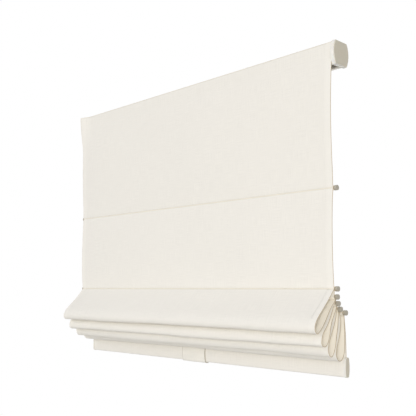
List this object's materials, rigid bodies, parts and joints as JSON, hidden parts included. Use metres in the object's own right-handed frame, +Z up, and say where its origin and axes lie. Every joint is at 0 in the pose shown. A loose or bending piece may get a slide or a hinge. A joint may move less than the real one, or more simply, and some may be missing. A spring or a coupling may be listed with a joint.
{
  "type": "roman blind",
  "caption": "Cordless roman blind for a wall, half raised: a head rail, soft folds of ivory cloth over rods, and a bottom rail with a pull handle",
  "frame": {"origin": "centre of the four wall screw holes, on the wall's surface", "axes": "+X to the right along the blind, +Y back into the wall, +Z up"},
  "size_m": [1, 0.1374, 0.7666],
  "materials": {
    "powder_coat": "satin white",
    "bracket_coat": "satin white",
    "cap_plastic": "moulded, satin ivory",
    "handle_plastic": "moulded, satin ivory",
    "fitting_plastic": "moulded, matt white",
    "guide_plastic": "moulded, matt natural",
    "rod_cap_plastic": "moulded, matt grey-brown",
    "cloth": "plain woven ivory",
    "tape": "hook and loop tape, white",
    "rod_tube": "drawn",
    "shaft_steel": "bright drawn",
    "spring_steel": "blued",
    "rail_mill": "mill finish"
  },
  "bodies": {
    "head": {"head_rail": "powder_coat", "head_rail_end_cap_left": "cap_plastic", "head_rail_end_cap_right": "cap_plastic", "hook_tape": "tape", "loop_tape": "tape", "spool_cradle_left": "fitting_plastic", "spool_cradle_right": "fitting_plastic", "spring_motor_housing": "fitting_plastic", "spring_motor_cover": "fitting_plastic", "motor_spring": "spring_steel", "wall_bracket_left": "bracket_coat", "wall_bracket_right": "bracket_coat", "fabric": "cloth"},
    "lift_shaft": {"lift_shaft": "shaft_steel", "cord_spool_left": "fitting_plastic", "cord_spool_right": "fitting_plastic", "motor_output_drum": "guide_plastic"},
    "storage_drum": {"motor_storage_drum": "guide_plastic"},
    "rod_1": {"rod_1": "rod_tube", "rod_1_caps": "rod_cap_plastic", "rod_1_cord_guides": "guide_plastic"},
    "rod_2": {"rod_2": "rod_tube", "rod_2_caps": "rod_cap_plastic", "rod_2_cord_guides": "guide_plastic"},
    "rod_3": {"rod_3": "rod_tube", "rod_3_caps": "rod_cap_plastic", "rod_3_cord_guides": "guide_plastic"},
    "rod_4": {"rod_4": "rod_tube", "rod_4_caps": "rod_cap_plastic", "rod_4_cord_guides": "guide_plastic"},
    "rod_5": {"rod_5": "rod_tube", "rod_5_caps": "rod_cap_plastic", "rod_5_cord_guides": "guide_plastic"},
    "bottom": {"rod_6": "rod_tube", "rod_6_caps": "rod_cap_plastic", "rod_6_cord_anchors": "guide_plastic", "bottom_rail": "rail_mill", "bottom_rail_end_cap_left": "cap_plastic", "bottom_rail_end_cap_right": "cap_plastic", "handle": "handle_plastic"}
  },
  "joints": [
    {"name": "rod_1_lift", "type": "slide", "parent": "head", "child": "rod_1", "axis": [0, 0, 1], "range_m": [0, 0.262], "deforming": ["fabric"]},
    {"name": "rod_2_lift", "type": "slide", "parent": "rod_1", "child": "rod_2", "axis": [0, 0, 1], "range_m": [0, 0.21], "deforming": ["fabric"]},
    {"name": "rod_3_drop", "type": "slide", "parent": "rod_2", "child": "rod_3", "axis": [0, 0, -1], "range_m": [0, 0.21], "deforming": ["fabric"]},
    {"name": "rod_4_drop", "type": "slide", "parent": "rod_3", "child": "rod_4", "axis": [0, -0.0165, -0.9999], "range_m": [0, 0.212], "deforming": ["fabric"]},
    {"name": "rod_5_drop", "type": "slide", "parent": "rod_4", "child": "rod_5", "axis": [0, -0.0373, -0.9993], "range_m": [0, 0.2146], "deforming": ["fabric"]},
    {"name": "bottom_drop", "type": "slide", "parent": "rod_5", "child": "bottom", "axis": [0, -0.0912, -0.9958], "range_m": [0, 0.2194], "deforming": ["fabric"]},
    {"name": "lift_shaft_turn", "type": "hinge", "parent": "head", "child": "lift_shaft", "pos_m": [0, -0.049, -0.009], "axis": [1, 0, 0], "range_deg": [-1400, 0]},
    {"name": "storage_drum_turn", "type": "hinge", "parent": "head", "child": "storage_drum", "pos_m": [0, -0.0322, 0.003], "axis": [1, 0, 0], "range_deg": [0, 1210]}
  ],
  "couplings": [
    {"joint": "lift_shaft_turn", "follows": "rod_3_drop", "rad_per_m": -116.28},
    {"joint": "storage_drum_turn", "follows": "rod_3_drop", "rad_per_m": 100.42}
  ]
}
